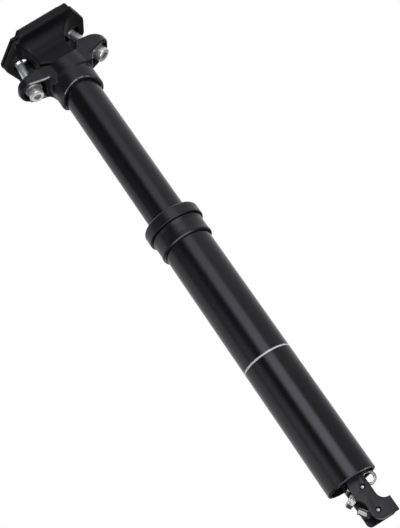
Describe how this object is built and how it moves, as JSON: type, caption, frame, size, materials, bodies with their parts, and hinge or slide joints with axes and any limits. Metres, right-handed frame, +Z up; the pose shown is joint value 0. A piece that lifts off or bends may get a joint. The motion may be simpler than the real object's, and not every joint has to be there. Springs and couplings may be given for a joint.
{
  "type": "dropper seatpost",
  "caption": "Telescopic bicycle seatpost that drops the saddle on a gas spring, with a tilting rail clamp on top and a cable-worked release lever under the tube.",
  "frame": {"origin": "centre of the outer tube's lower end", "axes": "+Z up the post towards the saddle, -X towards the front of the saddle, +X towards its rear"},
  "size_m": [0.0707, 0.053, 0.3859],
  "materials": {
    "tube_black": "satin black anodised",
    "stanchion_black": "polished black anodised",
    "forged_black": "bead-blasted black anodised",
    "collar_black": "satin black anodised",
    "bracket_black": "satin black anodised",
    "seal_rubber": "matte black",
    "bush_plastic": "smooth bearing plastic",
    "alloy": "machined",
    "steel": "ground",
    "bolt_zinc": "zinc plated",
    "nickel": "satin nickel plated",
    "brass": "machined"
  },
  "bodies": {
    "outer": {"outer_tube": "tube_black", "collar_ring": "collar_black", "seal_cap": "collar_black", "wiper_seal": "seal_rubber", "upper_bush": "bush_plastic", "bottom_plug": "collar_black", "plug_seal": "seal_rubber", "plug_ring": "steel", "piston_rod": "steel", "piston": "alloy", "piston_seal": "seal_rubber", "rod_nut": "steel", "actuator_bracket": "bracket_black", "lever_pin": "steel", "barrel_pin": "steel", "barrel_carrier": "bracket_black", "cable_barrel": "nickel"},
    "slider": {"stanchion": "stanchion_black", "seat_head": "forged_black", "lower_bush": "bush_plastic", "guide_keys": "brass", "top_bumper": "seal_rubber", "gas_cylinder": "alloy", "cylinder_cap": "alloy", "rod_gland": "alloy", "rod_seal": "seal_rubber", "cylinder_ring": "steel", "clamp_bolts": "bolt_zinc", "bolt_washers": "steel"},
    "floater": {"floating_piston": "alloy", "floating_seal": "seal_rubber"},
    "clamp": {"lower_clamp": "forged_black", "upper_clamp": "forged_black"},
    "front_nut": {"front_nut": "steel"},
    "rear_nut": {"rear_nut": "steel"},
    "lever": {"release_lever": "nickel", "cable_anchor": "nickel", "anchor_screw": "steel"},
    "release": {"release_pin": "steel", "valve_poppet": "brass"}
  },
  "joints": [
    {"name": "drop", "type": "slide", "parent": "outer", "child": "slider", "axis": [0, 0, 1], "range_m": [-0.1, 0], "stiffness_N_per_m": 200, "springref_m": 0.25},
    {"name": "float_slide", "type": "slide", "parent": "slider", "child": "floater", "axis": [0, 0, 1], "range_m": [0, 0.023]},
    {"name": "saddle_tilt", "type": "hinge", "parent": "slider", "child": "clamp", "pos_m": [-0.00374, 0, 0.35002], "axis": [0, 1, 0], "range_deg": [-6, 6]},
    {"name": "front_nut_roll", "type": "hinge", "parent": "clamp", "child": "front_nut", "pos_m": [-0.02338, 0, 0.35136], "axis": [0, 1, 0], "range_deg": [-6.2, 6.2]},
    {"name": "rear_nut_roll", "type": "hinge", "parent": "clamp", "child": "rear_nut", "pos_m": [0.01465, 0, 0.35704], "axis": [0, 1, 0], "range_deg": [-6.2, 6.2]},
    {"name": "release_turn", "type": "hinge", "parent": "outer", "child": "lever", "pos_m": [0.00165, 0, -0.0057], "axis": [0, -1, 0], "range_deg": [0, 11.5]},
    {"name": "release_push", "type": "slide", "parent": "outer", "child": "release", "axis": [0, 0, 1], "range_m": [0, 0.00044], "stiffness_N_per_m": 50, "springref_m": -0.0004}
  ],
  "couplings": [
    {"joint": "float_slide", "follows": "drop", "ratio": -0.2244},
    {"joint": "front_nut_roll", "follows": "saddle_tilt", "ratio": -1},
    {"joint": "rear_nut_roll", "follows": "saddle_tilt", "ratio": -1},
    {"joint": "release_turn", "follows": "release_push", "rad_per_m": 454.5}
  ]
}
